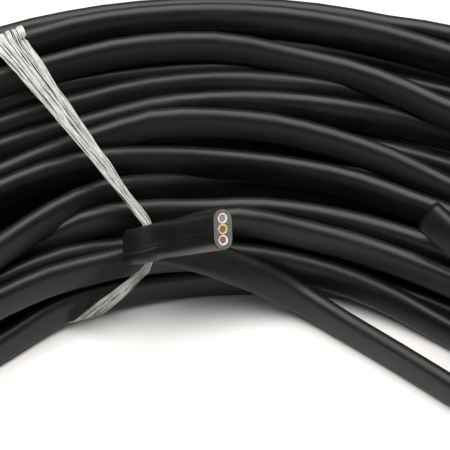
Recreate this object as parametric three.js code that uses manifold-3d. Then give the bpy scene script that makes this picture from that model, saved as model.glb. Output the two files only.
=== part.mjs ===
// Coil of flat three-core submersible-pump cable, tied with polypropylene twine.
// Millimetres, +Z up. The origin is on the floor at the coil's centre, and the
// cut end and the pulled tie lie on the +Y side.
import * as THREE from 'three';
import * as BufferGeometryUtils from 'three/addons/utils/BufferGeometryUtils.js';
import Module from 'manifold-3d';

const wasm = await Module();
wasm.setup();

// Cable: a flat sheath round three cores that lie side by side.
const CABLE_WIDTH = 14.6;
const CABLE_THICKNESS = 7;
const CONDUCTOR_DIAMETER = 2.2;
const INSULATION_WALL = 0.325;
const CORE_SPACING = 0.4;
const CORE_LENGTH = 9;
const CORE_RECESS = 0.5;
const CONDUCTOR_RECESS = 0.3;

// Coil: the turns stand on edge, in rows that step back up the inside.
// Each row has its step back from the innermost turn and the height of its top edge.
const INNER_RADIUS = 150;
const COIL_DEPTH = 79;
const ROW_STEPS = [
  [0, 14.6],
  [1.5, 29.2],
  [11, 45],
  [31, 59],
  [39, 72.5],
  [46.5, 86.5],
  [59, 96],
  [71.5, 100],
];
const OUTER_ROW_COUNT = 7;
const OUTER_ROW_BULGE = 1.6;
const BOTTOM_TURN_COUNT = 8;
const BOTTOM_GROOVE = 1.4;
const RING_SEGMENTS = 60;

// Ties: bands of flat twine round the bundle's section.
const TIE_ANGLES = [-25, 100, 217];
const TIE_WIDTH = 11;
const TIE_THICKNESS = 1.2;
const TIE_PINCHED_WIDTH = 4;

const CLEARANCE = 0.3;

const CORE_DIAMETER = CONDUCTOR_DIAMETER + 2 * (CLEARANCE + INSULATION_WALL);
const CORE_PITCH = CORE_DIAMETER + CORE_SPACING;
const INNER_ROWS = ROW_STEPS.map(([step, top]) => [INNER_RADIUS + step, top]);
const OUTER_RADIUS = INNER_RADIUS + COIL_DEPTH;
const COIL_HEIGHT = INNER_ROWS[INNER_ROWS.length - 1][1];

// Route of the loose tail, from where it leaves the coil's inner wall to the cut
// end. Each point has its lean: the angle that the wide face tips back, in degrees.
const TAIL_ROUTE = [
  [145.8, -7.6, 7.6, 0],
  [145, 12.7, 7.6, 0],
  [137.8, 34.4, 7.6, 0],
  [118.3, 62.9, 7.6, 0],
  [98.8, 82.9, 7.6, 0],
  [84.7, 95.2, 7.6, 0],
  [66.2, 111.1, 7.6, 0],
  [46.9, 127, 7.8, 2],
  [26.8, 141.2, 10.5, 8],
  [5.8, 145.2, 21.3, 20],
  [-15, 146, 31.5, 38],
  [-31, 147.6, 35, 44],
  [-39.3, 145.4, 37.5, 44.5],
  [-42.3, 139.9, 42.8, 44.5],
  [-38.3, 134.2, 49.1, 44.5],
  [-29.9, 130.6, 53.6, 44.5],
  [-21.9, 122.3, 64.5, 44.5],
  [-14, 111.1, 79, 44.5],
  [-5.4, 98.2, 94, 44.5],
];
const TAIL_STEPS = 64;

// Route of the cable's other end: it turns back on itself where it leaves the inner
// wall, and lies on the ledge that the third row makes.
const START_ROUTE = [
  [178.5, 3.0, 52.6, 0],
  [173.6, 1.4, 52.6, 0],
  [168.1, 2.4, 52.6, 0],
  [163.9, 6.1, 52.6, 0],
  [162.1, 11.3, 52.6, 0],
  [159.5, 31.0, 52.6, 0],
  [152.2, 55.4, 52.6, 0],
  [137.8, 76.4, 52.6, 0],
  [115.7, 98.6, 52.6, 0],
  [97.6, 117, 52.6, 0],
  [84, 133.5, 52.6, 0],
  [74.3, 143.7, 52.6, 0],
];
const START_STEPS = 34;

const sheathMaterial = new THREE.MeshStandardMaterial({ color: 0x1b1b1a, roughness: 0.5, metalness: 0 });
const insulationColours = [0xe9e6dc, 0xd9c793, 0xe9e6dc];
const conductorColours = [0xc9a795, 0x9c5f3f, 0xb06a45];
const twineMaterial = new THREE.MeshStandardMaterial({ color: 0xdcdcd8, roughness: 0.45, metalness: 0 });

// A closed mesh becomes a solid for cutting, and comes back as a geometry.
function toSolid(geometry) {
  const bare = geometry.clone();
  bare.deleteAttribute('normal');
  bare.deleteAttribute('uv');
  const merged = BufferGeometryUtils.mergeVertices(bare);
  return new wasm.Manifold(new wasm.Mesh({
    numProp: 3,
    vertProperties: new Float32Array(merged.attributes.position.array),
    triVerts: new Uint32Array(merged.index.array),
  }));
}

function toGeometry(solid) {
  const mesh = solid.getMesh();
  const geometry = new THREE.BufferGeometry();
  geometry.setAttribute('position', new THREE.BufferAttribute(new Float32Array(mesh.vertProperties), 3));
  geometry.setIndex(new THREE.BufferAttribute(new Uint32Array(mesh.triVerts), 1));
  geometry.computeVertexNormals();
  return geometry;
}

// Inner wall: one rounded step for each row of turns, from the floor up.
function innerWall() {
  const points = [];
  let bottom = 0;
  INNER_ROWS.forEach(([radius, top], row) => {
    const height = top - bottom;
    const edge = Math.min(CABLE_THICKNESS / 2, height / 2) * 0.7;
    points.push(new THREE.Vector2(radius + edge * 0.6, bottom + (row ? 0.3 : 0)));
    points.push(new THREE.Vector2(radius, bottom + edge));
    points.push(new THREE.Vector2(radius, top - edge));
    points.push(new THREE.Vector2(radius + edge, top));
    bottom = top;
  });
  return points;
}

// Outer wall: a shallow bulge for each row, from the top down.
function outerWall() {
  const rowHeight = COIL_HEIGHT / OUTER_ROW_COUNT;
  const points = [];
  for (let row = OUTER_ROW_COUNT; row > 0; row -= 1) {
    points.push(new THREE.Vector2(OUTER_RADIUS - OUTER_ROW_BULGE, row * rowHeight));
    points.push(new THREE.Vector2(OUTER_RADIUS, (row - 0.25) * rowHeight));
    points.push(new THREE.Vector2(OUTER_RADIUS, (row - 0.75) * rowHeight));
  }
  points.push(new THREE.Vector2(OUTER_RADIUS - OUTER_ROW_BULGE, 0));
  return points;
}

// Underside: the lowest turns' edges are level with the floor, with a groove between.
function underside() {
  const pitch = COIL_DEPTH / BOTTOM_TURN_COUNT;
  const points = [];
  for (let turn = BOTTOM_TURN_COUNT - 1; turn > 0; turn -= 1) {
    const middle = INNER_RADIUS + turn * pitch;
    points.push(new THREE.Vector2(middle + BOTTOM_GROOVE, 0));
    points.push(new THREE.Vector2(middle, BOTTOM_GROOVE));
    points.push(new THREE.Vector2(middle - BOTTOM_GROOVE, 0));
  }
  return points;
}

// The tie's frame: radius outwards, sideways along the coil, and up.
function tiePosition(angle, radius, sideways, height) {
  const turn = THREE.MathUtils.degToRad(angle);
  const outwards = new THREE.Vector3(Math.sin(turn), Math.cos(turn), 0);
  const along = new THREE.Vector3(Math.cos(turn), -Math.sin(turn), 0);
  return outwards.multiplyScalar(radius).addScaledVector(along, sideways).setZ(height);
}

// A tie's groove in the underside keeps the twine clear of the floor.
function tieGroove(angle) {
  const depth = TIE_THICKNESS + 2 * CLEARANCE;
  const box = new THREE.BoxGeometry(TIE_WIDTH + 2, COIL_DEPTH + 20, depth * 2);
  box.translate(0, INNER_RADIUS + COIL_DEPTH / 2, 0);
  box.rotateZ(-THREE.MathUtils.degToRad(angle));
  return toSolid(box);
}

function coilGeometry() {
  const profile = [...innerWall(), ...outerWall(), ...underside()].reverse();
  profile.push(profile[0].clone());
  const ring = new THREE.LatheGeometry(profile, RING_SEGMENTS);
  ring.rotateX(Math.PI / 2);
  let solid = toSolid(ring);
  TIE_ANGLES.forEach((angle) => {
    solid = solid.subtract(tieGroove(angle));
  });
  return toGeometry(solid);
}

// Flat cable's section: two straight sides and two round edges, width along X.
function cableSection() {
  const radius = CABLE_THICKNESS / 2;
  const straight = CABLE_WIDTH / 2 - radius;
  const edgeAngles = [-75, -25, 25, 75];
  const points = [];
  [0, 180].forEach((side) => {
    edgeAngles.forEach((angle) => {
      const a = THREE.MathUtils.degToRad(side + angle);
      const middle = side ? -straight : straight;
      points.push(new THREE.Vector2(middle + radius * Math.cos(a), radius * Math.sin(a)));
    });
  });
  return new THREE.Shape(points);
}

// A curve that carries its own frames, so that the wide face leans as the route says.
function leaningPath(route) {
  const path = new THREE.CatmullRomCurve3(route.map(([x, y, z]) => new THREE.Vector3(x, y, z)), false, 'centripetal');
  const leanAt = (t) => {
    const place = t * (route.length - 1);
    const index = Math.min(Math.floor(place), route.length - 2);
    return THREE.MathUtils.degToRad(THREE.MathUtils.lerp(route[index][3], route[index + 1][3], place - index));
  };
  path.computeFrenetFrames = (steps) => {
    const frames = { tangents: [], normals: [], binormals: [] };
    for (let step = 0; step <= steps; step += 1) {
      const t = path.getUtoTmapping(step / steps);
      const tangent = path.getTangent(t);
      const lean = leanAt(t);
      const width = new THREE.Vector3(0, Math.sin(lean), Math.cos(lean));
      width.addScaledVector(tangent, -width.dot(tangent)).normalize();
      frames.tangents.push(tangent);
      frames.normals.push(width);
      frames.binormals.push(new THREE.Vector3().crossVectors(tangent, width));
    }
    return frames;
  };
  return path;
}

function cableGeometry(route, steps) {
  return new THREE.ExtrudeGeometry(cableSection(), {
    extrudePath: leaningPath(route),
    steps,
    bevelEnabled: false,
  });
}

// The cut end's frame: its centre, the cable's direction and the width direction.
function cutEnd() {
  const path = leaningPath(TAIL_ROUTE);
  const frames = path.computeFrenetFrames(TAIL_STEPS);
  return {
    centre: path.getPoint(1),
    direction: frames.tangents[TAIL_STEPS],
    width: frames.normals[TAIL_STEPS],
  };
}

// Turns a shape made along Z, in the section's plane, to stand in the cut end.
function placeInCutEnd(geometry, offset, recess) {
  const { centre, direction, width } = cutEnd();
  const across = new THREE.Vector3().crossVectors(direction, width);
  const turn = new THREE.Matrix4().makeBasis(width, across, direction);
  turn.setPosition(centre.clone().addScaledVector(width, offset).addScaledVector(direction, -recess));
  return geometry.applyMatrix4(turn);
}

// A short round bar along -Z, from its flat end at the origin.
function bar(diameter, length) {
  const geometry = new THREE.CylinderGeometry(diameter / 2, diameter / 2, length, 16);
  geometry.rotateX(Math.PI / 2);
  geometry.translate(0, 0, -length / 2);
  return geometry;
}

// The tail's sheath ends in a pocket in which the three cores stand.
function tailGeometry() {
  let solid = toSolid(cableGeometry(TAIL_ROUTE, TAIL_STEPS));
  const pocketDepth = CORE_LENGTH + CORE_RECESS + CLEARANCE;
  const pocketDiameter = CORE_DIAMETER + 2 * CLEARANCE;
  [-1, 0, 1].forEach((core) => {
    const pocket = placeInCutEnd(bar(pocketDiameter, pocketDepth + 5), core * CORE_PITCH, -5);
    solid = solid.subtract(toSolid(pocket));
  });
  return toGeometry(solid);
}

// A core's insulation is a short sleeve round its conductor.
function insulationGeometry(core) {
  const bore = CONDUCTOR_DIAMETER + 2 * CLEARANCE;
  const sleeve = placeInCutEnd(bar(CORE_DIAMETER, CORE_LENGTH), core * CORE_PITCH, CORE_RECESS);
  const hole = placeInCutEnd(bar(bore, CORE_LENGTH + 10), core * CORE_PITCH, CORE_RECESS - 5);
  return toGeometry(toSolid(sleeve).subtract(toSolid(hole)));
}

function conductorGeometry(core) {
  const recess = CORE_RECESS + CONDUCTOR_RECESS;
  return placeInCutEnd(bar(CONDUCTOR_DIAMETER, CORE_LENGTH - CONDUCTOR_RECESS), core * CORE_PITCH, recess);
}

// Moves a closed outline outwards by a distance, corner by corner.
function offsetOutline(points, distance) {
  return points.map((point, index) => {
    const before = points[(index + points.length - 1) % points.length];
    const after = points[(index + 1) % points.length];
    const first = point.clone().sub(before).normalize();
    const second = after.clone().sub(point).normalize();
    const normal = new THREE.Vector2(first.y + second.y, -first.x - second.x).normalize();
    const stretch = normal.dot(new THREE.Vector2(first.y, -first.x));
    return point.clone().addScaledVector(normal, distance / stretch);
  });
}

// A tie's inside line in its plane, anticlockwise from the outer bottom corner.
// The tie over the tail's bend is pulled off the wall and sideways there.
const PULL = { lower: [137.1, 37.3, 24.6], upper: [147.3, 48.7, 29.3] };

function tieInsideLine(pulled) {
  const out = OUTER_RADIUS + CLEARANCE + 0.1;
  const floorSide = TIE_THICKNESS + CLEARANCE;
  const slack = CLEARANCE + 0.4;
  const line = [[out, floorSide, 0], [out, COIL_HEIGHT + CLEARANCE, 0]];
  line.push([INNER_ROWS[7][0] - 0.5, COIL_HEIGHT + CLEARANCE, 0]);
  line.push([INNER_ROWS[6][0] - 0.7, INNER_ROWS[6][1] + slack, 0]);
  line.push([INNER_ROWS[5][0] - 0.9, INNER_ROWS[5][1] + slack, pulled ? 5 : 0]);
  if (pulled) {
    line.push([PULL.upper[0], PULL.upper[1], PULL.upper[2]]);
    line.push([PULL.lower[0], PULL.lower[1], PULL.lower[2]]);
  } else {
    line.push([INNER_ROWS[2][0] - slack, INNER_ROWS[2][1] + slack, 0]);
    line.push([INNER_ROWS[1][0] - slack, INNER_ROWS[1][1], 0]);
    line.push([INNER_ROWS[0][0] - slack, INNER_ROWS[0][1], 0]);
  }
  line.push([INNER_ROWS[0][0] - slack, floorSide, 0]);
  return line;
}

function tieGeometry(angle, pulled) {
  const line = tieInsideLine(pulled);
  const inside = line.map(([radius, height]) => new THREE.Vector2(radius, height));
  const outline = new THREE.Shape(offsetOutline(inside, TIE_THICKNESS));
  outline.holes.push(new THREE.Path(inside.slice().reverse()));
  const band = new THREE.ExtrudeGeometry(outline, { depth: TIE_WIDTH, steps: 1, bevelEnabled: false });
  band.translate(0, 0, -TIE_WIDTH / 2);
  const position = band.attributes.position;
  for (let i = 0; i < position.count; i += 1) {
    const radius = position.getX(i);
    const height = position.getY(i);
    let nearest = 0;
    inside.forEach((point, index) => {
      const there = point.distanceTo(new THREE.Vector2(radius, height));
      if (there < inside[nearest].distanceTo(new THREE.Vector2(radius, height))) {
        nearest = index;
      }
    });
    const pull = line[nearest][2];
    const narrow = pull > 20 ? TIE_PINCHED_WIDTH / TIE_WIDTH : 1;
    const placed = tiePosition(angle, radius, pull + position.getZ(i) * narrow, height);
    position.setXYZ(i, placed.x, placed.y, placed.z);
  }
  return band;
}

function addPiece(name, geometry, material) {
  const mesh = new THREE.Mesh(geometry, material);
  mesh.name = name;
  group.add(mesh);
}

const group = new THREE.Group();
addPiece('cable_coil', coilGeometry(), sheathMaterial);
addPiece('cable_tail', tailGeometry(), sheathMaterial.clone());
addPiece('cable_start', cableGeometry(START_ROUTE, START_STEPS), sheathMaterial.clone());
[1, 0, -1].forEach((core, index) => {
  const insulation = new THREE.MeshStandardMaterial({ color: insulationColours[index], roughness: 0.5, metalness: 0 });
  const conductor = new THREE.MeshStandardMaterial({ color: conductorColours[index], roughness: 0.35, metalness: 1 });
  addPiece(`core_insulation_${index + 1}`, insulationGeometry(core), insulation);
  addPiece(`core_conductor_${index + 1}`, conductorGeometry(core), conductor);
});
TIE_ANGLES.forEach((angle, index) => {
  addPiece(`twine_tie_${index + 1}`, tieGeometry(angle, index === 0), twineMaterial.clone());
});

export default group;
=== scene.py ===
import math
import random

import bmesh
import bpy
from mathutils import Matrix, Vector, geometry, noise


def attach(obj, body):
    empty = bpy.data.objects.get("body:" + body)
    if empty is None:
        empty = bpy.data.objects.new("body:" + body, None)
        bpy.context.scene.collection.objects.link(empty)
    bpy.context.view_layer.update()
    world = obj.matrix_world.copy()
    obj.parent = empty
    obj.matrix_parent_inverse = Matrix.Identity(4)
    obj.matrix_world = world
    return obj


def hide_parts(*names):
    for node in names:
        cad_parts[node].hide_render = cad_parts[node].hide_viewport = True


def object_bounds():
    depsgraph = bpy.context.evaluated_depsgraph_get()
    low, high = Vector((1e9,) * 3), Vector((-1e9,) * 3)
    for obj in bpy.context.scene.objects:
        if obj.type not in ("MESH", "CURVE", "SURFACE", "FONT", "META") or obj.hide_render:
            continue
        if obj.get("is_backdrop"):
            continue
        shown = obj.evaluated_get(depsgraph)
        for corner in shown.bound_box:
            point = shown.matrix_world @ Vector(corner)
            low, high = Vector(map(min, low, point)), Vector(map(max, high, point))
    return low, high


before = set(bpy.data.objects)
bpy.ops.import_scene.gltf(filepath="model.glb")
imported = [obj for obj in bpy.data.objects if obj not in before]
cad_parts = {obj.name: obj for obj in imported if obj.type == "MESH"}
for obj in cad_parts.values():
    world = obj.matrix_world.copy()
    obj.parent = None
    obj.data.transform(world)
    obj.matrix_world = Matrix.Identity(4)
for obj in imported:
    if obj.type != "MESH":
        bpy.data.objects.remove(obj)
cad_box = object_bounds()


# The photographer's view: from over the near side of the coil, down through its
# bore at the far inner wall, with a long lens.

VIEW_DOWN = math.radians(44.5)
VIEW_TARGET = Vector((-0.0047, 0.196, 0))
VIEW_DISTANCE = 0.664
SENSOR = 36
PHOTO_PIXELS = 450
FOCAL_PIXELS = 1478
LENS = FOCAL_PIXELS / PHOTO_PIXELS * SENSOR

sight = Vector((0, math.cos(VIEW_DOWN), -math.sin(VIEW_DOWN)))
camera_data = bpy.data.cameras.new("photo_camera")
camera_data.lens = LENS
camera_data.sensor_width = SENSOR
camera_data.clip_start = 0.01
camera = bpy.data.objects.new("photo_camera", camera_data)
camera.location = VIEW_TARGET - sight * VIEW_DISTANCE
camera.rotation_euler = (math.pi / 2 - VIEW_DOWN, 0, 0)
bpy.context.collection.objects.link(camera)
bpy.context.scene.camera = camera


# The cable: one length of flat three-core cable, a black PVC sheath pressed out
# round its cores. Its turns stand on edge and were laid by hand in layers, and
# both of its ends are cut off.

MM = 0.001
CABLE_WIDTH = 14.6 * MM
CABLE_THICKNESS = 7 * MM
EDGE_RADIUS = CABLE_THICKNESS / 2
HALF_FLAT = CABLE_WIDTH / 2 - EDGE_RADIUS
EDGE_CORNERS = (-90, -62, -37, -12, 12, 37, 62, 90)
UP = Vector((0, 0, 1))

# The loose tail, from the coil's wall to the cut face: x, y, z in millimetres and
# how far the wide face leans back in degrees.
TAIL_ROUTE = [
    (145.8, -7.6, 7.6, 0),
    (145, 12.7, 7.6, 0),
    (137.8, 34.4, 7.6, 0),
    (118.3, 62.9, 7.6, 0),
    (98.8, 82.9, 7.6, 0),
    (84.7, 95.2, 7.6, 0),
    (66.2, 111.1, 7.6, 0),
    (46.9, 127, 7.8, 2),
    (26.8, 141.2, 10.5, 8),
    (5.8, 145.2, 21.3, 20),
    (-15, 146, 31.5, 38),
    (-31, 147.6, 35, 44),
    (-39.3, 145.4, 37.5, 44.5),
    (-42.3, 139.9, 42.8, 44.5),
    (-38.3, 134.2, 49.1, 44.5),
    (-29.9, 131.7, 54.7, 44.5),
    (-21.9, 123, 65.2, 44.5),
    (-14, 111.1, 79, 44.5),
    (-5.4, 98.2, 94, 44.5),
]

# The other end turns back on itself and lies on the ledge of the inner wall. The
# first two points are inside the wound turns.
START_ROUTE = [
    (183.6, 12.8, 52, 0),
    (182.5, 7.4, 52.4, 0),
    (178.5, 3, 52.6, 0),
    (173.6, 1.4, 52.6, 0),
    (168.1, 2.4, 52.6, 0),
    (163.9, 6.1, 52.6, 0),
    (162.1, 11.3, 52.6, 0),
    (159.5, 31, 52.6, 0),
    (152.2, 55.4, 52.6, 0),
    (137.8, 76.4, 52.6, 0),
    (115.7, 98.6, 52.6, 0),
    (97.6, 117, 52.6, 14),
    (85.2, 134.3, 53.4, 30),
    (76.7, 145.4, 54.3, 40),
]

# Layers of turns: number from the floor up, height of the cable's middle, radius
# of the first and the last turn as they are counted, and how many turns.
LAYERS = [
    (0, 7.3, 153.5, 225.5, 9),
    (1, 21.7, 225.5, 155, 9),
    (2, 36.2, 225.5, 164.5, 7),
    (6, 93.2, 227.5, 213, 3),
    (5, 79, 200, 226, 4),
    (4, 65, 226, 192.5, 4),
    (3, 50.9, 226, 184.5, 5),
]
# The order of the winding: layer, and the places from the inside. Each change of
# place goes to a neighbour. Only the last turn passes inside another one, and it
# swings inwards by PASSING millimetres there.
WINDING = [
    (0, range(9)),
    (1, range(8, -1, -1)),
    (2, range(7)),
    (3, (4, 3, 2, 1)),
    (4, range(4)),
    (5, (3,)),
    (6, (2, 1)),
    (5, (2, 1)),
    (6, (0,)),
    (5, (0,)),
    (3, (0,)),
]
PASSING = 9
TAIL_RADIUS = 146
CHANGE_ANGLE = 180
CHANGE_SPREAD = 70
TURN_STEPS = 96

# How far a hand-laid turn strays from its place, in millimetres, how far it leans,
# in degrees, and the added lean of the inner turns. The straying starts and ends
# gently, over so many degrees along the cable.
RADIUS_DRIFT = 1.5
HEIGHT_DRIFT = 0.8
LEAN_DRIFT = 9
RADIUS_SEED = 1.5
HEIGHT_SEED = 7.5
LEAN_SEED = 13.5
INNER_LEAN = 4
INNER_LEAN_RADIUS = 203
INNER_LEAN_FADE = 6
FIRST_FADE = 60
LAST_FADE = 40

# Turns of the far inner wall as they lie in the photograph, by layer and place
# from the inside: angle, radius, and the height of the top edge.
SEEN_TURNS = {
    (0, 0): [(-75, 152.5, 14.6), (-38, 152, 14.6), (-30, 154, 15.8), (-20, 154, 15.8),
             (0, 154.5, 15), (10, 157, 14.6), (20, 160, 14.6), (75, 160, 14.6)],
    (0, 1): [(-75, 162.5, 14.6), (0, 163.5, 14.6), (20, 168, 14.6), (75, 168, 14.6)],
    (0, 2): [(-75, 171.5, 14.6), (0, 171.5, 14.6), (20, 175.5, 14.6), (75, 175.5, 14.6)],
    (1, 0): [(-75, 155, 33), (-50, 154.5, 36), (-37, 154, 36.3), (-29, 154, 35), (-24, 154, 33.2),
             (-17, 154, 33.5), (1, 153.5, 29.3), (10, 153.5, 25.6), (18, 153.5, 21.9),
             (26, 153.2, 17.8), (34, 152.4, 14.8), (75, 152.5, 14.6)],
    (1, 1): [(-75, 168.5, 29.2), (-10, 168.5, 29.2), (10, 166.5, 29.2), (75, 166.5, 29.2)],
    (1, 2): [(-75, 175.5, 29.2), (75, 175.5, 29.2)],
    (2, 0): [(-75, 162, 40), (-50, 161.5, 37.5), (-36, 161.5, 37.1), (-23, 161.5, 34.4),
             (-17, 161, 33), (-13, 160, 35), (-7, 159, 42.5), (-1, 159, 46.5), (6, 159, 43.8),
             (9, 159, 41.9), (17, 159, 39.4), (24, 159, 37.7), (32, 159, 36.8), (75, 159.5, 37)],
    (2, 1): [(-75, 174, 41), (-45, 170.5, 38.5), (-34, 169.5, 38.5), (-28, 168.5, 41),
             (-22, 167, 46), (-19, 166.3, 47.4), (-12, 166, 46), (-5, 166, 43.4), (3, 166, 44.1),
             (16, 166, 42.7), (27, 166, 42.3), (45, 166, 43.5), (75, 167, 43.5)],
    (2, 2): [(-75, 176, 54.5), (-55, 166, 54), (-40, 162, 53.2), (-34, 164, 53.4),
             (-26, 169.5, 53.4), (-18, 174, 54.4), (-12, 177, 50), (-5, 183, 43), (2, 187, 38.5),
             (20, 187, 36), (75, 185, 38)],
    (3, 0): [(-75, 185, 59), (-31, 185, 61.2), (-27, 185, 61.6), (-23, 185, 61.9), (-17, 185, 61.5),
             (-10, 185, 58.2), (-1, 184, 54.8), (8, 182, 53.3), (15, 181, 52.1), (25, 179, 49.6),
             (45, 179, 50), (60, 182, 55), (75, 184.3, 59.2)],
    (3, 1): [(-75, 195, 58.2), (0, 195, 58), (14, 197.5, 57), (75, 197, 57)],
    (4, 0): [(-75, 192.5, 66), (-30, 192.5, 62.5), (-20, 192.5, 66.5), (-15, 192.3, 70),
             (-11, 192, 72.8), (-7, 192, 72.6), (-1, 192, 70.7), (5, 191.5, 68.9), (14, 190, 64.6),
             (21, 189, 60.8), (27, 188, 57), (40, 188, 56), (75, 189, 62)],
    (4, 1): [(-75, 200, 71), (-20, 199.5, 68.5), (-10, 199.5, 73), (-1, 200, 73.9), (8, 200, 73.9),
             (14, 201, 73), (20, 205, 70), (27, 207, 67), (75, 204, 68)],
    (4, 2): [(-75, 220, 72.8), (75, 220, 72.8)],
    (4, 3): [(-75, 227.3, 72), (75, 227.3, 72)],
    (5, 0): [(-75, 206, 78), (-30, 206, 75), (-19, 206, 76.2), (-12, 206, 79.1), (-1, 206, 80.4),
             (4, 205.5, 80.1), (13, 208, 77), (20, 213, 72), (75, 212, 72)],
    (5, 1): [(-75, 213, 80.5), (0, 213, 80.5), (12, 216, 78), (20, 219, 77), (75, 218, 78)],
    (5, 2): [(-75, 220.5, 88), (5, 220.5, 87), (20, 224, 80.5), (75, 222.5, 82)],
    (5, 3): [(-75, 227.5, 86.5), (5, 227.5, 86.2), (20, 229.5, 83.5), (75, 229, 85)],
    (6, 0): [(-75, 213, 96), (-30, 213, 93.5), (-21, 213, 93.4), (-15, 213, 96), (-6, 213, 96.1),
             (-1, 212.5, 95), (7, 211, 89.8), (13, 209, 88.2), (19, 206, 86), (25, 202, 84.4),
             (35, 200, 83), (75, 204, 88)],
    (6, 1): [(-75, 220.5, 102), (-30, 220.5, 101.5), (-23, 220.5, 101), (-20, 220.5, 102.8),
             (-15, 220.5, 104.2), (-9, 220.5, 104.2), (-1, 220.5, 103.6), (7, 220.5, 102),
             (18, 221, 98.1), (23, 222, 95.1), (75, 221, 97)],
    (6, 2): [(-75, 227.5, 101), (-30, 227.5, 99.8), (-20, 227.5, 101.2), (-14, 227.5, 101.9),
             (0, 227.5, 101), (7, 227.5, 100.3), (12, 228, 99), (17, 229, 97.6), (22, 230, 98.5),
             (75, 229, 98.5)],
}
SEEN_EDGE = 75
SEEN_FADE = 30

# Where the ties cross the ring, and how much they lift the turns that they pass
# under, in millimetres and over so many degrees.
TIE_ANGLES = (-25, 100, 217)
TIE_LIFT = 1.3
TIE_LIFT_SPREAD = 7


def smooth(x):
    """A soft step from 0 to 1."""
    x = min(max(x, 0), 1)
    return x * x * (3 - 2 * x)


def through(table, at):
    """A smooth value through a table's rows, by the row's first number."""
    rows = [table[0]] + list(table) + [table[-1]]
    for before, low, high, after in zip(rows, rows[1:], rows[2:], rows[3:]):
        if at <= high[0]:
            break
    if at >= high[0]:
        return high[1:]
    if at <= low[0]:
        return low[1:]
    span = high[0] - low[0]
    t = (at - low[0]) / span
    values = []
    for a, b, c, d in zip(before[1:], low[1:], high[1:], after[1:]):
        slope_in = (c - a) / max(high[0] - before[0], 1e-6) * span
        slope_out = (d - b) / max(after[0] - low[0], 1e-6) * span
        values.append((2 * t**3 - 3 * t**2 + 1) * b + (t**3 - 2 * t**2 + t) * slope_in
                      + (3 * t**2 - 2 * t**3) * c + (t**3 - t**2) * slope_out)
    return values


def on_route(route, step):
    """Points along a listed route, a step apart, each with its width direction."""
    points = [Vector(row[:3]) * MM for row in route]
    points = [2 * points[0] - points[1]] + points + [2 * points[-1] - points[-2]]
    samples = []
    for i in range(1, len(points) - 2):
        p0, p1, p2, p3 = points[i - 1:i + 3]
        d0, d1, d2 = (max((b - a).length ** 0.5, 1e-6) for a, b in ((p0, p1), (p1, p2), (p2, p3)))
        slope_in = ((p1 - p0) / d0 - (p2 - p0) / (d0 + d1) + (p2 - p1) / d1) * d1
        slope_out = ((p2 - p1) / d1 - (p3 - p1) / (d1 + d2) + (p3 - p2) / d2) * d1
        count = max(2, round((p2 - p1).length / step))
        for k in range(count if i < len(points) - 3 else count + 1):
            t = k / count
            place = ((2 * t**3 - 3 * t**2 + 1) * p1 + (t**3 - 2 * t**2 + t) * slope_in
                     + (3 * t**2 - 2 * t**3) * p2 + (t**3 - t**2) * slope_out)
            lean = math.radians(route[i - 1][3] * (1 - t) + route[i][3] * t)
            samples.append((place, Vector((0, math.sin(lean), math.cos(lean)))))
    return samples


def wander(turns, seed, spread):
    """A slow, smooth drift along the cable, different on each turn."""
    return spread * sum(noise.noise(Vector((turns * rate, seed, rate))) * share
                        for rate, share in ((0.9, 0.8), (2.7, 0.7), (6.1, 0.35)))


def wound_slots():
    """The turns in winding order: layer, place from the inside, radius, height, drift number."""
    slots = {}
    for layer, height, first, last, count in LAYERS:
        for turn in range(count):
            radius = first + (last - first) * turn / (count - 1)
            place = turn if first < last else count - 1 - turn
            slots[layer, place] = (layer, place, radius, height, len(slots) + 1)
    tail_turn = (0, -1, TAIL_RADIUS, LAYERS[0][1], 0)
    return [tail_turn] + [slots[layer, place] for layer, places in WINDING for place in places]


def in_slot(slot, angle, onward, loose):
    """Radius, height and lean of a turn's middle at an angle, with its own drift."""
    layer, place, radius, height, number = slot
    if (layer, place) in SEEN_TURNS and abs(angle) < SEEN_EDGE + SEEN_FADE:
        edge = max(-SEEN_EDGE, min(SEEN_EDGE, angle))
        seen_radius, seen_top = through(SEEN_TURNS[layer, place], edge)
        share = 1 - smooth((abs(angle) - SEEN_EDGE) / SEEN_FADE)
        radius += (seen_radius - radius) * share
        height += (seen_top - CABLE_WIDTH / MM / 2 - height) * share
    turn = number + onward
    lean = wander(turn, LEAN_SEED, LEAN_DRIFT)
    lean += INNER_LEAN * smooth((INNER_LEAN_RADIUS - radius) / INNER_LEAN_FADE)
    radius += wander(turn, RADIUS_SEED, RADIUS_DRIFT) * loose
    height += wander(turn, HEIGHT_SEED, HEIGHT_DRIFT) * loose
    return radius, height, lean * loose


def outwards_at(angle):
    """Away from the ring's axis, at an angle from the far side."""
    turn = math.radians(angle)
    return Vector((math.sin(turn), math.cos(turn), 0))


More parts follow.
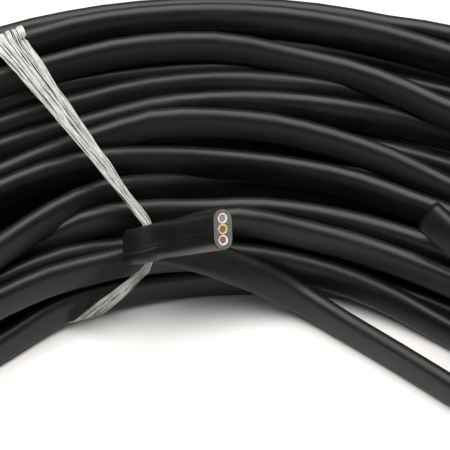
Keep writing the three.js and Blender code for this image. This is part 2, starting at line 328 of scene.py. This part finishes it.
def wound_turns(first_angle, last_angle):
    """The wound cable, turn after turn, from the tail's join to the other end's."""
    slots = wound_slots()
    total = 360 * (len(slots) - 1) + last_angle
    half_change = CHANGE_SPREAD / 2 / 360
    samples = []
    steps = round((total - first_angle) / 360 * TURN_STEPS)
    for k in range(steps + 1):
        travelled = first_angle + (total - first_angle) * k / steps
        turn = (travelled - CHANGE_ANGLE) / 360 + 1
        index = math.floor(turn)
        onward = turn - index
        angle = (travelled + 180) % 360 - 180
        other = index
        share = 0
        if onward < half_change and index > 0:
            other = index - 1
            share = smooth(0.5 - 0.5 * onward / half_change)
        elif onward > 1 - half_change and index < len(slots) - 1:
            other = index + 1
            share = smooth(0.5 - 0.5 * (1 - onward) / half_change)
        loose = smooth((travelled - first_angle) / FIRST_FADE) * smooth((total - travelled) / LAST_FADE)
        here = in_slot(slots[index], angle, onward, loose)
        there = in_slot(slots[other], angle, onward + index - other, loose)
        radius, height, lean = (a + (b - a) * share for a, b in zip(here, there))
        if abs(slots[index][0] - slots[other][0]) > 1:
            radius -= PASSING * smooth(2 * share)
        lean = math.radians(lean)
        half_height = (HALF_FLAT * math.cos(lean) + EDGE_RADIUS) / MM
        for tie in TIE_ANGLES:
            away = (angle - tie + 180) % 360 - 180
            height += TIE_LIFT * math.exp(-(away / TIE_LIFT_SPREAD) ** 2)
        height = max(height, half_height)
        outwards = outwards_at(angle)
        width = outwards * math.sin(lean) + UP * math.cos(lean)
        samples.append((outwards * radius * MM + UP * height * MM, width))
    return samples


JOIN_ANGLE = 97
LEAVE_ANGLE = 80
ROUTE_STEP = 2 * MM

tail_samples = on_route(TAIL_ROUTE, ROUTE_STEP)
start_samples = on_route(START_ROUTE, ROUTE_STEP)
cable_samples = tail_samples[::-1] + wound_turns(JOIN_ANGLE, LEAVE_ANGLE) + start_samples
cable_path = [place for place, width in cable_samples]


def cable_frames(samples):
    """Place, direction, width and thickness directions at each sample."""
    frames = []
    for i, (place, width) in enumerate(samples):
        ahead = samples[min(i + 1, len(samples) - 1)][0]
        behind = samples[max(i - 1, 0)][0]
        along = (ahead - behind).normalized()
        across = (width - along * width.dot(along)).normalized()
        frames.append((place, along, across, along.cross(across)))
    return frames


def sheath_outline():
    """The flat cable's section, width first: two flats and two round edges."""
    outline = []
    for side, middle in ((0, HALF_FLAT), (180, -HALF_FLAT)):
        for degrees in EDGE_CORNERS:
            turn = math.radians(side + degrees)
            outline.append((middle + EDGE_RADIUS * math.cos(turn), EDGE_RADIUS * math.sin(turn)))
    return outline


# The three cores' places across the section, and the pockets that hold them.
CORES = (-1, 0, 1)
CORE_PITCH = 3.9 * MM
CORE_DIAMETER = 3.88 * MM
CONDUCTOR_DIAMETER = 2.4 * MM
POCKET_DEPTH = 3 * MM
POCKET_SIDES = 24


def close_cut_end(mesh, ring, frame_at, outwards):
    """Closes a cut end: a flat face with three pockets for the cores."""
    place, along, across, through_way = frame_at
    flat = [Vector(p) for p in sheath_outline()]
    loops = [list(range(len(flat)))]
    core_radius = CORE_DIAMETER / 2
    for core in CORES:
        loop = []
        for k in range(POCKET_SIDES):
            turn = 2 * math.pi * k / POCKET_SIDES
            loop.append(len(flat))
            x = core * CORE_PITCH + core_radius * math.cos(turn)
            flat.append(Vector((x, core_radius * math.sin(turn))))
        loops.append(loop)
    edges = [(a, b) for loop in loops for a, b in zip(loop, loop[1:] + loop[:1])]
    points, _, faces, _, _, _ = geometry.delaunay_2d_cdt(flat, edges, [], 1, 1e-9)

    def verts_at(depth, indices):
        origin = place + along * outwards * -depth
        return [mesh.verts.new(origin + across * points[i].x + through_way * points[i].y) for i in indices]

    face_verts = list(ring) + verts_at(0, range(len(ring), len(points)))
    for face in faces:
        middle = sum((points[i] for i in face), Vector((0, 0))) / 3
        nearest = min((middle - Vector((core * CORE_PITCH, 0))).length for core in CORES)
        if nearest > core_radius * 0.99:
            made = mesh.faces.new([face_verts[i] for i in face])
            made.material_index = 1
    for loop in loops[1:]:
        rim = [face_verts[i] for i in loop]
        floor = verts_at(POCKET_DEPTH, loop)
        for k in range(POCKET_SIDES):
            after = (k + 1) % POCKET_SIDES
            mesh.faces.new((rim[k], rim[after], floor[after], floor[k])).material_index = 1
        mesh.faces.new(floor).material_index = 1


def cable_mesh(frames, travelled, first_cut, last_cut):
    """A stretch of the sheath: its section carried along the cable, and its ends closed."""
    mesh = bmesh.new()
    length_map = mesh.loops.layers.uv.new("along")
    outline = sheath_outline()
    around = [0]
    for a, b in zip(outline, outline[1:] + outline[:1]):
        around.append(around[-1] + math.dist(a, b))
    rings = []
    for place, along, across, through_way in frames:
        rings.append([mesh.verts.new(place + across * x + through_way * y) for x, y in outline])
    for i in range(len(rings) - 1):
        onward = travelled + (frames[i + 1][0] - frames[i][0]).length
        for k in range(len(outline)):
            after = (k + 1) % len(outline)
            face = mesh.faces.new((rings[i][k], rings[i][after], rings[i + 1][after], rings[i + 1][k]))
            face.smooth = True
            corners = ((travelled, around[k]), (travelled, around[k + 1]),
                       (onward, around[k + 1]), (onward, around[k]))
            for loop, corner in zip(face.loops, corners):
                loop[length_map].uv = corner
        travelled = onward
    both_ends = ((rings[0], frames[0], -1, first_cut), (rings[-1], frames[-1], 1, last_cut))
    for ring, frame_at, outwards, is_cut in both_ends:
        if is_cut:
            close_cut_end(mesh, ring, frame_at, outwards)
        else:
            mesh.faces.new(ring)
    bmesh.ops.recalc_face_normals(mesh, faces=mesh.faces)
    return mesh


def add_piece(name, mesh, *materials):
    """A finished piece: its mesh in place, its materials, and the coil's body."""
    data = bpy.data.meshes.new(name)
    mesh.to_mesh(data)
    mesh.free()
    for material in materials:
        data.materials.append(material)
    piece = bpy.data.objects.new(name, data)
    bpy.context.collection.objects.link(piece)
    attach(piece, "root")
    return piece


class Wire:
    """One value on its way through a material, ready for sums."""

    def __init__(self, finish, socket):
        self.finish = finish
        self.socket = socket

    def sum(self, operation, other):
        return self.finish.node("ShaderNodeMath", {"operation": operation}, {0: self, 1: other})

    def __add__(self, other):
        return self.sum("ADD", other)

    def __mul__(self, other):
        return self.sum("MULTIPLY", other)

    __radd__ = __add__
    __rmul__ = __mul__


class Finish:
    """A material under construction."""

    def __init__(self, name):
        self.material = bpy.data.materials.new(name)
        self.material.use_nodes = True
        self.tree = self.material.node_tree
        self.tree.nodes.clear()

    def node(self, kind, settings, sockets, output=0):
        """A node of a kind: its settings first, then its sockets' values or links."""
        made = self.tree.nodes.new(kind)
        for name, value in settings.items():
            if name == "stops":
                for stop in range(len(value) - 2):
                    made.color_ramp.elements.new(0.5)
                for element, (position, level) in zip(made.color_ramp.elements, value):
                    element.position = position
                    element.color = (level, level, level, 1)
            else:
                setattr(made, name, value)
        for name, value in sockets.items():
            if isinstance(value, Wire):
                self.tree.links.new(value.socket, made.inputs[name])
            else:
                made.inputs[name].default_value = value
        return None if output is None else Wire(self, made.outputs[output])

    def where(self, source, scale):
        """Object coordinates or a named map, stretched by a scale."""
        if source == "Object":
            wire = self.node("ShaderNodeTexCoord", {}, {}, "Object")
        else:
            wire = self.node("ShaderNodeUVMap", {"uv_map": source}, {})
        return self.node("ShaderNodeMapping", {}, {"Vector": wire, "Scale": scale})

    def speckle(self, place, size, detail=4, roughness=0.55):
        """Noise from 0 to 1, with grains of about a size in metres."""
        sockets = {"Vector": place, "Scale": 1 / size, "Detail": detail, "Roughness": roughness}
        return self.node("ShaderNodeTexNoise", {}, sockets)

    def ramp(self, wire, *stops):
        """A value through grey stops, each a position and a level."""
        return self.node("ShaderNodeValToRGB", {"stops": stops}, {"Fac": wire})

    def blend(self, share, first, second):
        """From the first colour at share 0 to the second at share 1."""
        return self.node("ShaderNodeMix", {"data_type": "RGBA"}, {0: share, 6: first, 7: second}, 2)

    def bump(self, height, distance, strength=1.0):
        sockets = {"Height": height, "Distance": distance, "Strength": strength}
        return self.node("ShaderNodeBump", {}, sockets)

    def done(self, sockets):
        """The finished material, from the shader's sockets."""
        shader = self.node("ShaderNodeBsdfPrincipled", {}, sockets)
        self.node("ShaderNodeOutputMaterial", {}, {"Surface": shader}, None)
        return self.material


def colour(red, green, blue):
    return (red, green, blue, 1)


# Black PVC: satin, with lengthwise drawing lines, dust, and pale scuffs.
SHEATH_BLACK = colour(0.0062, 0.0062, 0.0056)
SHEATH_DUST = colour(0.030, 0.029, 0.026)
SHEATH_SCUFF = colour(0.14, 0.13, 0.12)


def sheath_finish():
    finish = Finish("black_pvc_sheath")
    body = finish.where("Object", (1, 1, 1))
    lengthwise = finish.where("along", (0.06, 1, 1))
    dust = finish.ramp(finish.speckle(body, 0.035, 6, 0.65), (0.42, 0), (0.75, 1))
    lines = finish.speckle(lengthwise, 0.0009, 3, 0.6)
    grain = finish.speckle(body, 0.0006, 3, 0.6)
    rubbed = finish.speckle(finish.where("along", (0.25, 1, 1)), 0.0021, 5, 0.75)
    scuffs = finish.ramp(rubbed, (0.655, 0), (0.70, 1))
    scratched = finish.speckle(finish.where("along", (0.008, 1, 1)), 0.0007, 2, 0.5)
    hairlines = finish.ramp(scratched, (0.66, 0), (0.70, 1))
    specks = finish.ramp(finish.speckle(body, 0.0011, 2, 0.5), (0.76, 0), (0.79, 1))
    dusty = finish.blend(dust * 0.30, SHEATH_BLACK, SHEATH_DUST)
    marks = scuffs * dust * 0.5 + hairlines * dust * 0.6 + specks * 0.8
    worn = finish.blend(marks, dusty, SHEATH_SCUFF)
    rough = 0.36 + dust * 0.10 + lines * 0.08
    height = lines * 0.5 + grain * 0.35
    return finish.done({
        "Base Color": worn,
        "Roughness": rough,
        "Normal": finish.bump(height, 0.00006, 0.6),
        "IOR": 1.38,
    })


# The knife leaves the cut face dull and grey.
CUT_DARK = colour(0.03, 0.03, 0.032)
CUT_PALE = colour(0.19, 0.19, 0.2)


def cut_sheath_finish():
    finish = Finish("cut_pvc")
    body = finish.where("Object", (1, 1, 1))
    marks = finish.speckle(finish.where("Object", (1, 1, 0.15)), 0.0006, 4, 0.7)
    tone = finish.blend(finish.speckle(body, 0.0009, 5, 0.75), CUT_DARK, CUT_PALE)
    return finish.done({
        "Base Color": tone,
        "Roughness": 0.7 + marks * 0.15,
        "Normal": finish.bump(marks, 0.0002, 1.0),
    })


def run_length(path):
    return sum((b - a).length for a, b in zip(path, path[1:]))


cut_frames = cable_frames(cable_samples)
tail_end = len(tail_samples)
coil_end = len(cable_samples) - len(start_samples) - 1
black_pvc = sheath_finish()
cut_pvc = cut_sheath_finish()

coil_frames = cut_frames[tail_end:coil_end + 1]
coil_mesh = cable_mesh(coil_frames, run_length(cable_path[:tail_end + 1]), False, False)
wound_cable = add_piece("wound_cable", coil_mesh, black_pvc)
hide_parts("cable_coil")

tail_path = cable_path[:tail_end + 1]
tail = add_piece("tail_of_cable", cable_mesh(cut_frames[:tail_end + 1], 0, True, False), black_pvc, cut_pvc)
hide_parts("cable_tail")

start_path = cable_path[coil_end:]
start_mesh = cable_mesh(cut_frames[coil_end:], run_length(cable_path[:coil_end + 1]), False, True)
start = add_piece("start_of_cable", start_mesh, black_pvc, cut_pvc)
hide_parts("cable_start")


# The cores in each cut face: three sleeves of PVC, white, cream yellow and white,
# pressed out over the conductors and cut off with them by the same knife.

SLEEVE_LENGTH = 2.6 * MM
SLEEVE_SIDES = 32
SLEEVE_SUNK = 0.1 * MM
WHITE_PVC = colour(0.72, 0.70, 0.62)
WHITE_STAIN = colour(0.45, 0.40, 0.33)
YELLOW_PVC = colour(0.66, 0.53, 0.27)
YELLOW_STAIN = colour(0.42, 0.30, 0.14)


def insulation_finish(name, base, stain):
    finish = Finish(name)
    body = finish.where("Object", (1, 1, 1))
    smear = finish.ramp(finish.speckle(body, 0.0012, 4, 0.7), (0.45, 0), (0.72, 1))
    return finish.done({
        "Base Color": finish.blend(smear * 0.55, base, stain),
        "Roughness": 0.45 + smear * 0.2,
        "Normal": finish.bump(finish.speckle(body, 0.0004, 3), 0.00008, 0.6),
        "Subsurface Weight": 0.08,
        "Subsurface Radius": (0.002, 0.0018, 0.0014),
    })


def sleeve_mesh(core, frame_at, outwards, seed):
    """A short sleeve, cut a little out of true, with a rounded outer lip."""
    place, along, across, through_way = frame_at
    way = along * outwards
    chance = random.Random(seed)
    mesh = bmesh.new()
    out = CORE_DIAMETER / 2 - 0.03 * MM
    bore = CONDUCTOR_DIAMETER / 2 + 0.02 * MM
    section = [(bore, -SLEEVE_LENGTH), (out, -SLEEVE_LENGTH), (out, -0.12 * MM),
               (out - 0.05 * MM, -0.03 * MM), (out - 0.14 * MM, 0), (bore + 0.1 * MM, 0.01 * MM),
               (bore, -0.08 * MM)]
    tilt = chance.uniform(0, 6.28)
    rings = []
    for k in range(SLEEVE_SIDES):
        turn = 2 * math.pi * k / SLEEVE_SIDES
        wave = 1 + 0.02 * math.sin(2 * turn + tilt)
        lift = 0.12 * MM * math.cos(turn - tilt) + 0.06 * MM * math.sin(3 * turn + tilt)
        ring = []
        for radius, height in section:
            reach = radius * (wave if radius > bore * 1.2 else 1)
            up = height + (lift if height > -1 * MM else 0)
            x = core * CORE_PITCH + reach * math.cos(turn)
            in_face = place + across * x + through_way * reach * math.sin(turn)
            ring.append(mesh.verts.new(in_face + way * (up - SLEEVE_SUNK)))
        rings.append(ring)
    for ring, after in zip(rings, rings[1:] + rings[:1]):
        for k in range(len(section)):
            onward = (k + 1) % len(section)
            mesh.faces.new((ring[k], ring[onward], after[onward], after[k])).smooth = True
    bmesh.ops.recalc_face_normals(mesh, faces=mesh.faces)
    return mesh


white_pvc = insulation_finish("white_insulation", WHITE_PVC, WHITE_STAIN)
yellow_pvc = insulation_finish("yellow_insulation", YELLOW_PVC, YELLOW_STAIN)

CORE_ORDER = (
    (1, white_pvc, "insulation_white"),
    (0, yellow_pvc, "insulation_yellow"),
    (-1, white_pvc, "insulation_white"),
)

tail_pieces = []
start_pieces = []
for number, (core, finish, slot) in enumerate(CORE_ORDER, 1):
    sleeve = add_piece(f"core_sleeve_{number}", sleeve_mesh(core, cut_frames[0], -1, number), finish)
    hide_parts(f"core_insulation_{number}")
    other_mesh = sleeve_mesh(core, cut_frames[-1], 1, number + 10)
    other_sleeve = add_piece(f"start_core_sleeve_{number}", other_mesh, finish)
    tail_pieces.append(sleeve)
    start_pieces.append(other_sleeve)


# The conductors: each is a twisted bundle of fine copper wires, cut off flat and
# left a little uneven, the top one paler than the rest.

WIRE_DIAMETER = 0.30 * MM
WIRE_RINGS = 3
WIRE_LENGTH = 2.5 * MM
WIRE_SIDES = 8
WIRES_SUNK = 0.12 * MM


def copper_finish(name, bright, dull):
    finish = Finish(name)
    body = finish.where("Object", (1, 1, 1))
    tarnish = finish.speckle(body, 0.0005, 3, 0.6)
    return finish.done({
        "Base Color": finish.blend(tarnish, bright, dull),
        "Roughness": 0.32 + tarnish * 0.25,
        "Metallic": 0.85,
    })


def wire_tree(name, material):
    """Sets a cut wire on each point, with uneven lengths."""
    tree = bpy.data.node_groups.new(name, "GeometryNodeTree")
    face = tree.interface
    face.new_socket("Points", in_out="INPUT", socket_type="NodeSocketGeometry")
    for label in ("Wire Diameter", "Wire Length"):
        face.new_socket(label, in_out="INPUT", socket_type="NodeSocketFloat")
    face.new_socket("Direction", in_out="INPUT", socket_type="NodeSocketVector")
    face.new_socket("Wires", in_out="OUTPUT", socket_type="NodeSocketGeometry")
    made = {}

    def put(label, kind, settings, links):
        """Adds a node under a label; a pair in its links is another label and its output."""
        node = tree.nodes.new(kind)
        for key, value in settings.items():
            setattr(node, key, value)
        for key, value in links.items():
            if isinstance(value, tuple) and isinstance(value[0], str):
                tree.links.new(made[value[0]].outputs[value[1]], node.inputs[key])
            else:
                node.inputs[key].default_value = value
        made[label] = node

    put("in", "NodeGroupInput", {}, {})
    put("radius", "ShaderNodeMath", {"operation": "MULTIPLY"}, {0: ("in", "Wire Diameter"), 1: 0.5})
    put("wire", "GeometryNodeMeshCylinder", {}, {"Vertices": WIRE_SIDES, "Radius": ("radius", 0),
                                                 "Depth": ("in", "Wire Length")})
    put("aim", "FunctionNodeAlignRotationToVector", {"axis": "Z"}, {"Vector": ("in", "Direction")})
    put("uneven", "FunctionNodeRandomValue", {"data_type": "FLOAT"}, {2: 0.93, 3: 1.07, "Seed": 5})
    put("stretch", "ShaderNodeCombineXYZ", {}, {"X": 1.0, "Y": 1.0, "Z": ("uneven", 1)})
    put("points", "GeometryNodeMeshToPoints", {}, {"Mesh": ("in", "Points")})
    put("place", "GeometryNodeInstanceOnPoints", {}, {"Points": ("points", 0), "Instance": ("wire", 0),
                                                     "Rotation": ("aim", 0), "Scale": ("stretch", 0)})
    put("real", "GeometryNodeRealizeInstances", {}, {"Geometry": ("place", 0)})
    put("paint", "GeometryNodeSetMaterial", {}, {"Geometry": ("real", 0), "Material": material})
    put("out", "NodeGroupOutput", {}, {0: ("paint", 0)})
    return tree


def set_input(modifier, label, value):
    """Sets a modifier's named input through its socket's identifier."""
    for item in modifier.node_group.interface.items_tree:
        if item.in_out == "INPUT" and item.name == label:
            modifier[item.identifier] = value


def grown(name, mesh, tree, **inputs):
    """A plain mesh from a tree's result on a mesh."""
    data = bpy.data.meshes.new(name + "_seed")
    mesh.to_mesh(data)
    mesh.free()
    carrier = bpy.data.objects.new(name + "_seed", data)
    bpy.context.collection.objects.link(carrier)
    modifier = carrier.modifiers.new(name, "NODES")
    modifier.node_group = tree
    for label, value in inputs.items():
        set_input(modifier, label.replace("_", " "), value)
    bpy.context.view_layer.update()
    evaluated = carrier.evaluated_get(bpy.context.evaluated_depsgraph_get())
    result = bpy.data.meshes.new_from_object(evaluated)
    bpy.data.objects.remove(carrier)
    result.name = name
    piece = bpy.data.objects.new(name, result)
    bpy.context.collection.objects.link(piece)
    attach(piece, "root")
    return piece


def wire_places(core, frame_at, outwards, seed):
    """Middle points of the wires: rings of six, twelve and eighteen round one."""
    place, along, across, through_way = frame_at
    way = along * outwards
    chance = random.Random(seed)
    mesh = bmesh.new()
    for ring in range(WIRE_RINGS + 1):
        for k in range(max(1, 6 * ring)):
            turn = 2 * math.pi * k / max(1, 6 * ring) + ring * 0.35
            reach = ring * WIRE_DIAMETER * 1.02 + chance.uniform(-0.02, 0.02) * MM
            x = core * CORE_PITCH + reach * math.cos(turn)
            sunk = -WIRE_LENGTH / 2 - WIRES_SUNK + chance.uniform(-0.08, 0.08) * MM
            mesh.verts.new(place + across * x + through_way * reach * math.sin(turn) + way * sunk)
    return mesh


copper = copper_finish("copper_wire", colour(0.86, 0.48, 0.31), colour(0.52, 0.25, 0.14))
pale_copper = copper_finish("pale_copper_wire", colour(0.90, 0.74, 0.66), colour(0.70, 0.52, 0.45))

for number, (core, finish) in enumerate(((1, pale_copper), (0, copper), (-1, copper)), 1):
    tree = wire_tree(f"conductor_wires_{number}", finish)
    for name, end, outwards in (("core_wires", 0, -1), ("start_core_wires", -1, 1)):
        seed_mesh = wire_places(core, cut_frames[end], outwards, number)
        wires = grown(f"{name}_{number}", seed_mesh, tree, Wire_Diameter=WIRE_DIAMETER,
                      Wire_Length=WIRE_LENGTH, Direction=tuple(cut_frames[end][1]))
        (tail_pieces if end == 0 else start_pieces).append(wires)
        if end == 0:
            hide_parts(f"core_conductor_{number}")

run_length(tail_path)
run_length(start_path)


# The ties: flat white polypropylene twine, split lengthwise into fibres, passed
# round the bundle and pulled tight. The first one is held off by the tail's bend.

TIE_WIDTH = 11 * MM
PULLED_WIDTH = 17 * MM
TIE_PINCHED = 4.2 * MM
TIE_CLEAR = 0.45 * MM
TIE_STEP = 2 * MM
TIE_FLOOR = 0.55 * MM
STRIPS = 24
STRIP_WIDTHS = (0.35, 0.6, 1.0, 1.5, 2.2)
STRIP_LIFT = 0.35 * MM
STRIP_SECTION = ((-1, 0.3), (0, 1), (1, 0.3), (1, -0.3), (0, -1), (-1, -0.3))
HALF_STRIP = 0.06 * MM
STRIP_FLOOR = 0.05 * MM

# The first tie's two points beside the tail's bend: radius, height and sideways in
# millimetres. Elsewhere it touches only the floor turns and the outer turns.
PULLED = ((137.1, 37.3, 24.6), (147.3, 48.7, 29.3))
PULLED_FLOOR = 6 * MM
PULLED_FROM = 200 * MM
PULLED_CLEAR = 1.2 * MM

# It passes under the outermost top turn, as in the photograph. The ties hold the
# wound turns, and not the tail, which lies nearer the axis.
TOP_TURN_RADIUS = 224.5 * MM
TOP_TURN_HEIGHT = 90 * MM
WOUND_FROM = 144.9 * MM


def section_at(angle, under_top_turn):
    """Corners of the turns that a tie holds, where it crosses them: radius, height."""
    corners = []
    for (place, along, across, through_way), after in zip(cut_frames, cut_frames[1:]):
        here = math.degrees(math.atan2(place.x, place.y))
        there = math.degrees(math.atan2(after[0].x, after[0].y))
        low = (here - angle + 180) % 360 - 180
        high = (there - angle + 180) % 360 - 180
        if abs(low) < 20 and low * high <= 0 and low != high and place.xy.length > WOUND_FROM:
            radius, height = place.xy.length, place.z
            if under_top_turn and radius > TOP_TURN_RADIUS and height > TOP_TURN_HEIGHT:
                continue
            lean = math.atan2(across.dot(outwards_at(angle)), across.z)
            for end in (-HALF_FLAT, HALF_FLAT):
                for k in range(8):
                    turn = math.pi * k / 4
                    corners.append((radius + end * math.sin(lean) + EDGE_RADIUS * math.cos(turn),
                                    height + end * math.cos(lean) + EDGE_RADIUS * math.sin(turn)))
    return corners


def taut_line(corners):
    """The line that a taut band takes round the corners, anticlockwise."""
    corners = sorted(set(corners))

    def half(points):
        line = []
        for p in points:
            while len(line) > 1 and ((line[-1][0] - line[-2][0]) * (p[1] - line[-2][1])
                                     - (line[-1][1] - line[-2][1]) * (p[0] - line[-2][0])) <= 0:
                line.pop()
            line.append(p)
        return line[:-1]

    return half(corners) + half(corners[::-1])


def tie_line(angle, pulled):
    """The tie's path as radius, sideways and height, with rounded corners."""
    corners = section_at(angle, pulled)
    aside = {}
    if pulled:
        aside = {(x * MM, z * MM): y * MM for x, z, y in PULLED}
        corners = [c for c in corners if c[0] > PULLED_FROM or c[1] < PULLED_FLOOR] + list(aside)
    hull = taut_line(corners)
    points = []
    for k, (radius, height) in enumerate(hull):
        if (radius, height) in aside:
            points.append((radius, aside[radius, height], height))
            continue
        before, after = Vector(hull[k - 1]), Vector(hull[(k + 1) % len(hull)])
        way = (after - before).normalized()
        normal = Vector((way.y, -way.x))
        moved = Vector((radius, height)) + normal * (PULLED_CLEAR if pulled else TIE_CLEAR)
        points.append((moved.x, 0, max(moved.y, TIE_FLOOR)))
    return points


def rounded_loop(points, step):
    """A closed line resampled at a step, with its corners eased."""
    places = [Vector(p) for p in points]
    dense = []
    for a, b in zip(places, places[1:] + places[:1]):
        count = max(1, round((b - a).length / step))
        dense += [a.lerp(b, k / count) for k in range(count)]
    for _ in range(3):
        after = dense[1:] + dense[:1]
        dense = [(dense[k - 1] + 2 * dense[k] + after[k]) / 4 for k in range(len(dense))]
    return dense


def tie_mesh(angle, pulled, seed):
    """The twine's strips, side by side along the tie, twisted and overlapping."""
    outwards = outwards_at(angle)
    sideways = Vector((outwards.y, -outwards.x, 0))
    line = rounded_loop(tie_line(angle, pulled), TIE_STEP)
    places = [outwards * p.x + sideways * p.y + UP * p.z for p in line]
    centre = sum(places, Vector()) / len(places)
    count = len(places)
    chance = random.Random(seed)
    mesh = bmesh.new()
    length_map = mesh.loops.layers.uv.new("along")
    full = PULLED_WIDTH if pulled else TIE_WIDTH
    strips = []
    for strip in range(STRIPS):
        strips.append({
            "share": (strip + 0.5) / STRIPS - 0.5,
            "width": full / STRIPS * chance.choice(STRIP_WIDTHS),
            "seed": chance.uniform(0, 50),
            "lift": chance.uniform(0, 1) * STRIP_LIFT,
        })
    for strip in strips:
        rings = []
        for k in range(count):
            here, ahead, behind = places[k], places[(k + 1) % count], places[k - 1]
            along = (ahead - behind).normalized()
            out = here - centre
            out = (out - along * out.dot(along)).normalized()
            side = along.cross(out)
            pinch = max(0, min(1, line[k].y / PULLED[0][2] / MM)) if pulled else 0
            above = line[k].z > PULLED[0][1] * MM
            spread = full + (TIE_PINCHED - full) * pinch ** (0.8 if above else 2)
            turn = 2 * math.pi * k / count
            around = Vector((math.cos(turn), math.sin(turn), strip["seed"]))
            drift = noise.noise(around * 2.2) * 1.6 * MM + noise.noise(around * 6) * 0.5 * MM
            ripple = noise.noise(around * 5 + Vector((9, 0, 0))) + 0.6
            lift = strip["lift"] + ripple * STRIP_LIFT * (1 + 1.5 * pinch)
            tilt = noise.noise(around * 4 + Vector((0, 5, 0))) * (0.6 + 1.2 * pinch)
            middle = here + side * (strip["share"] * spread + drift * (1 - 0.8 * pinch)) + out * max(lift, 0)
            wide = side * math.cos(tilt) + out * math.sin(tilt)
            thick = along.cross(wide)
            half = strip["width"] / 2 * (1 - 0.6 * pinch)
            corners = [middle + wide * half * a + thick * HALF_STRIP * b for a, b in STRIP_SECTION]
            for corner in corners:
                corner.z = max(corner.z, STRIP_FLOOR)
            rings.append([mesh.verts.new(corner) for corner in corners])
        for k in range(count):
            ring, after = rings[k], rings[(k + 1) % count]
            for c in range(len(STRIP_SECTION)):
                onward = (c + 1) % len(STRIP_SECTION)
                face = mesh.faces.new((ring[c], ring[onward], after[onward], after[c]))
                face.smooth = True
                low = strip["share"] + 0.5 + c / 600
                high = strip["share"] + 0.5 + (c + 1) / 600
                spots = ((k * TIE_STEP, low), (k * TIE_STEP, high),
                         ((k + 1) * TIE_STEP, high), ((k + 1) * TIE_STEP, low))
                for loop, spot in zip(face.loops, spots):
                    loop[length_map].uv = spot
    bmesh.ops.recalc_face_normals(mesh, faces=mesh.faces)
    return mesh


TWINE_SHADE = colour(0.42, 0.42, 0.40)
TWINE_WHITE = colour(0.66, 0.66, 0.64)


def twine_finish():
    finish = Finish("white_twine")
    fibres = finish.speckle(finish.where("along", (0.05, 0.011, 1)), 0.00022, 4, 0.65)
    body = finish.where("Object", (1, 1, 1))
    streaks = finish.ramp(fibres, (0.3, 0), (0.62, 1))
    patches = finish.speckle(finish.where("along", (0.3, 0.05, 1)), 0.004, 3, 0.6)
    film = finish.ramp(patches, (0.35, 0), (0.6, 1))
    return finish.done({
        "Base Color": finish.blend(streaks, TWINE_SHADE, TWINE_WHITE),
        "Roughness": 0.38 + finish.speckle(body, 0.004) * 0.2,
        "Normal": finish.bump(fibres, 0.0001, 0.7),
        "Subsurface Weight": 0.15,
        "Subsurface Radius": (0.003, 0.003, 0.003),
        "Alpha": 0.68 + streaks * 0.16 + film * 0.2,
    })


twine_white = twine_finish()
for number, angle in enumerate(TIE_ANGLES, 1):
    tie = add_piece(f"twine_band_{number}", tie_mesh(angle, number == 1, 40 + number), twine_white)
    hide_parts(f"twine_tie_{number}")


# Studio: a wide pale floor that the coil lies on, an even dim light all round, and
# one wide soft light high above the ring, where the highlights in the photograph
# put it.

FLOOR_REACH = 6
AIR_STRENGTH = 0.28
LIGHT_POWER = 38


def floor_finish():
    finish = Finish("pale_floor")
    return finish.done({"Base Color": colour(0.82, 0.82, 0.82), "Roughness": 0.6})


floor_data = bpy.data.meshes.new("studio_floor")
floor_data.from_pydata([(-FLOOR_REACH, -FLOOR_REACH, 0), (FLOOR_REACH, -FLOOR_REACH, 0),
                        (FLOOR_REACH, FLOOR_REACH, 0), (-FLOOR_REACH, FLOOR_REACH, 0)], [], [(0, 1, 2, 3)])
floor_data.materials.append(floor_finish())
studio_floor = bpy.data.objects.new("studio_floor", floor_data)
bpy.context.collection.objects.link(studio_floor)
studio_floor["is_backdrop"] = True

world = bpy.data.worlds.new("studio_air")
world.use_nodes = True
world.node_tree.nodes["Background"].inputs["Color"].default_value = colour(1, 1, 1)
world.node_tree.nodes["Background"].inputs["Strength"].default_value = AIR_STRENGTH
bpy.context.scene.world = world


def softbox(name, place, aim, size, power, tint):
    """A flat rectangular light that faces a point."""
    data = bpy.data.lights.new(name, "AREA")
    data.shape = "RECTANGLE"
    data.size, data.size_y = size
    data.energy = power
    data.color = tint
    lamp = bpy.data.objects.new(name, data)
    lamp.location = place
    lamp.rotation_euler = (Vector(aim) - Vector(place)).to_track_quat("-Z", "Y").to_euler()
    bpy.context.collection.objects.link(lamp)


softbox("top_softbox", (-0.1, 0.16, 1.4), (0, 0.1, 0), (1.7, 1.2), LIGHT_POWER, (1.0, 0.975, 0.95))

bpy.context.scene.view_settings.view_transform = "Standard"

visual_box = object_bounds()
({
    "cad": [list(corner) for corner in cad_box],
    "visual": [list(corner) for corner in visual_box],
    "cable_length_m": run_length(cable_path),
})
